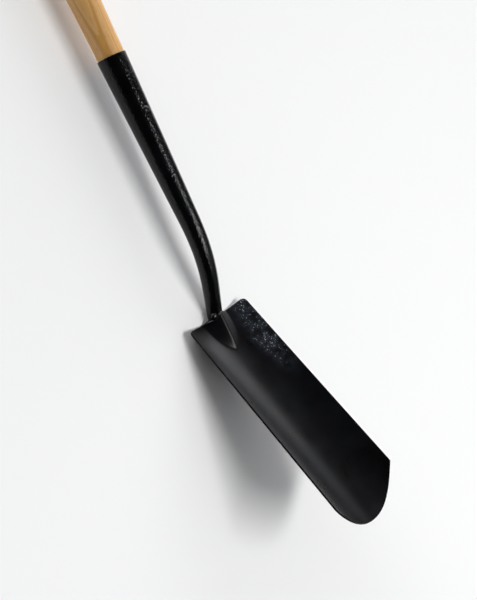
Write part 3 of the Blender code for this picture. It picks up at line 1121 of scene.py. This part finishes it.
@dataclass
class Handle:
    """One turned ash rod whose tapered chuck is driven into the socket.

    Its swell and its grip are each a radius and a height over the socket's mouth.
    """

    length: float = 1.219
    end_room: float = 0.006
    chamfer: float = 0.003
    step: float = 0.0005
    step_length: float = 0.004
    swell: Pair = (0.0211, 0.110)
    grip: Pair = (0.01775, 0.640)
    butt_radius: float = 0.01875
    dome: float = 0.012
    flat: float = 0.009
    fit: float = 0.0001
    smoothing: float = 35.0
    sides: int = 72
    chuck_steps: int = 10
    shaft_steps: int = 24
    dome_steps: int = 12
    finish: VarnishedAsh = VarnishedAsh()

    def profile(self, socket: Socket) -> list[Pair]:
        """Radius and height over the mouth, from the chuck's end to the butt.

        Args:
            socket: The socket that the chuck fills.

        Returns:
            The profile's points in order.
        """
        chuck = socket.length - self.end_room
        exposed = self.length - chuck
        bore = socket.mouth_radius - socket.wall
        chuck_end = bore - socket.taper * chuck - self.fit
        start = self.chamfer - chuck
        points = [(chuck_end - self.chamfer, -chuck), (chuck_end + socket.taper * self.chamfer, start)]
        heights = spread(start, 0.0, self.chuck_steps)[1:]
        points += [(bore + socket.taper * height - self.fit, height) for height in heights]
        stations = [
            (bore + self.step, self.step_length),
            self.swell,
            self.grip,
            (self.butt_radius, exposed - self.dome),
        ]
        points.append(stations[0])
        for (lower, bottom), (upper, top) in zip(stations, stations[1:]):
            for share in spread(0.0, 1.0, self.shaft_steps)[1:]:
                points.append((lower + (upper - lower) * ease(share), bottom + (top - bottom) * share))
        for share in spread(0.0, pi / 2, self.dome_steps)[1:]:
            radius = self.flat + (self.butt_radius - self.flat) * cos(share)
            points.append((radius, exposed - self.dome + self.dome * sin(share)))
        return points

    def build(self, socket: Socket, rivet: Rivet) -> None:
        """Makes the handle with its chuck, swell, grip and domed butt.

        Args:
            socket: The socket that holds it.
            rivet: The rivet through it.
        """
        rings = [Section(Vector((0.0, 0.0, height)), radius) for radius, height in self.profile(socket)]
        handle = draw_out("turned_ash_handle", rings, self.sides, End.CLOSED)
        lean = socket.lean(socket.socket_angle)
        settle(handle, Matrix.Translation(socket.mouth()) @ Matrix.Rotation(lean, 4, "Y"))
        merge(handle, rivet.hole(socket), Merge.CUT)
        ash = self.finish.build(lean - HEAD_TILT, head_matrix() @ socket.mouth())
        finish_piece(handle, self.smoothing, "handle", ash)


# The studio

@dataclass(frozen=True)
class Glow:
    """One soft-edged field of light in the room round the spade.

    Each edge has an axis of the direction looked in, and the values of it where the
    field is still dark and where it is fully lit.
    """

    level: float
    edges: tuple[tuple[str, float, float], ...]


@dataclass
class Studio:
    """A pale floor under soft light, and a camera at the photograph's place."""

    floor_size: float = 14.0
    floor_colour: str = "#f8f8f7"
    floor_roughness: float = 0.9
    floor_reflectance: float = 0.1
    lamp_place: Triple = (1.65, 0.88, 4.0)
    lamp_target: Triple = (0.45, 0.0, 0.05)
    lamp_size: Pair = (2.8, 0.7)
    lamp_watts: float = 109.0
    near_walls: Glow = Glow(0.06, (("Z", 0.40, 0.15), ("Y", 0.1, -0.4)))
    ceiling: Glow = Glow(0.6, (("X", 0.0, 0.2), ("Y", 0.20, 0.32), ("Z", 0.35, 0.55)))
    far_panel: Glow = Glow(4.4, (("X", -0.06, -0.28), ("Z", 0.68, 0.40), ("Y", -0.3, 0.1)))
    end_wall: Glow = Glow(4.5, (("X", -0.70, -0.90), ("Z", 0.60, 0.45)))
    room_light: float = 0.02
    light_colour: str = "#fbfcff"
    lens: float = 67.7841
    sensor: float = 36.0
    eye: Triple = (0.233293, -0.980161, 1.220235)
    gaze_turn: Triple = (0.194772, -0.701111, 1.000787)

    def build(self) -> None:
        """Lays the floor, hangs the lamp, lights the room and sets up the camera."""
        self.lay_floor()
        self.hang_softbox()
        self.light_world()
        self.place_camera()

    def lay_floor(self) -> None:
        """A plain pale floor that keeps the object's shadow."""
        deselect_all()
        bpy.ops.mesh.primitive_plane_add(size=self.floor_size)
        floor = name_new("studio_floor")
        # The eye sees white paper without gloss.
        material, _, shader = new_material("pale_floor_paper")
        shader.inputs["Base Color"].default_value = hex_colour(self.floor_colour)
        shader.inputs["Roughness"].default_value = self.floor_roughness
        shader.inputs["Specular IOR Level"].default_value = self.floor_reflectance
        floor.data.materials.append(material)

    def hang_softbox(self) -> None:
        """Hangs one soft area lamp high beyond the blade."""
        data = bpy.data.lights.new("overhead_softbox", "AREA")
        data.shape = "RECTANGLE"
        data.size, data.size_y = self.lamp_size
        data.energy = self.lamp_watts
        lamp = bpy.data.objects.new("overhead_softbox", data)
        bpy.context.scene.collection.objects.link(lamp)
        lamp.location = self.lamp_place
        facing = Vector(self.lamp_target) - Vector(self.lamp_place)
        lamp.rotation_euler = facing.to_track_quat("-Z", "Y").to_euler()

    def light_world(self) -> None:
        """Lights the room: walls near the camera, a panel beyond the handle, an end wall and a ceiling."""
        world = bpy.data.worlds.new("studio_room")
        bpy.context.scene.world = world
        world.use_nodes = True
        tree = world.node_tree
        way = add_node(tree, "TexCoord").outputs["Generated"]
        axes = add_node(tree, "SeparateXYZ", inputs={0: way}).outputs
        light: NodeSocket | float = 0.0
        for glow in (self.near_walls, self.ceiling, self.far_panel, self.end_wall):
            lit = soft_steps(tree, glow.level, [(axes[axis], dark, full) for axis, dark, full in glow.edges])
            light = add_node(tree, "Math", {"operation": "MAXIMUM"}, {0: light, 1: lit}).outputs[0]
        light = add_node(tree, "Math", {"operation": "ADD"}, {0: light, 1: self.room_light}).outputs[0]
        back = tree.nodes["Background"]
        back.inputs["Color"].default_value = hex_colour(self.light_colour)
        tree.links.new(light, back.inputs["Strength"])

    def place_camera(self) -> None:
        """The camera at the photograph's place, angle and framing."""
        data = bpy.data.cameras.new("photo_camera")
        data.lens = self.lens
        data.sensor_width = self.sensor
        data.sensor_fit = "AUTO"
        camera = bpy.data.objects.new("photo_camera", data)
        bpy.context.scene.collection.objects.link(camera)
        camera.location = self.eye
        camera.rotation_euler = self.gaze_turn
        bpy.context.scene.camera = camera
        bpy.context.scene.view_settings.view_transform = "Standard"


def main() -> None:
    """Builds the spade piece by piece, then the studio round it."""
    logging.basicConfig(level=logging.INFO, format="%(message)s")
    blade = Blade()
    socket = Socket()
    rivet = Rivet()
    weld = NeckWeld()
    handle = Handle()
    blade.build(socket)
    socket.build(rivet)
    weld.build(blade, socket)
    handle.build(socket, rivet)
    rivet.build(socket)
    Studio().build()


if __name__ == "__main__":
    main()
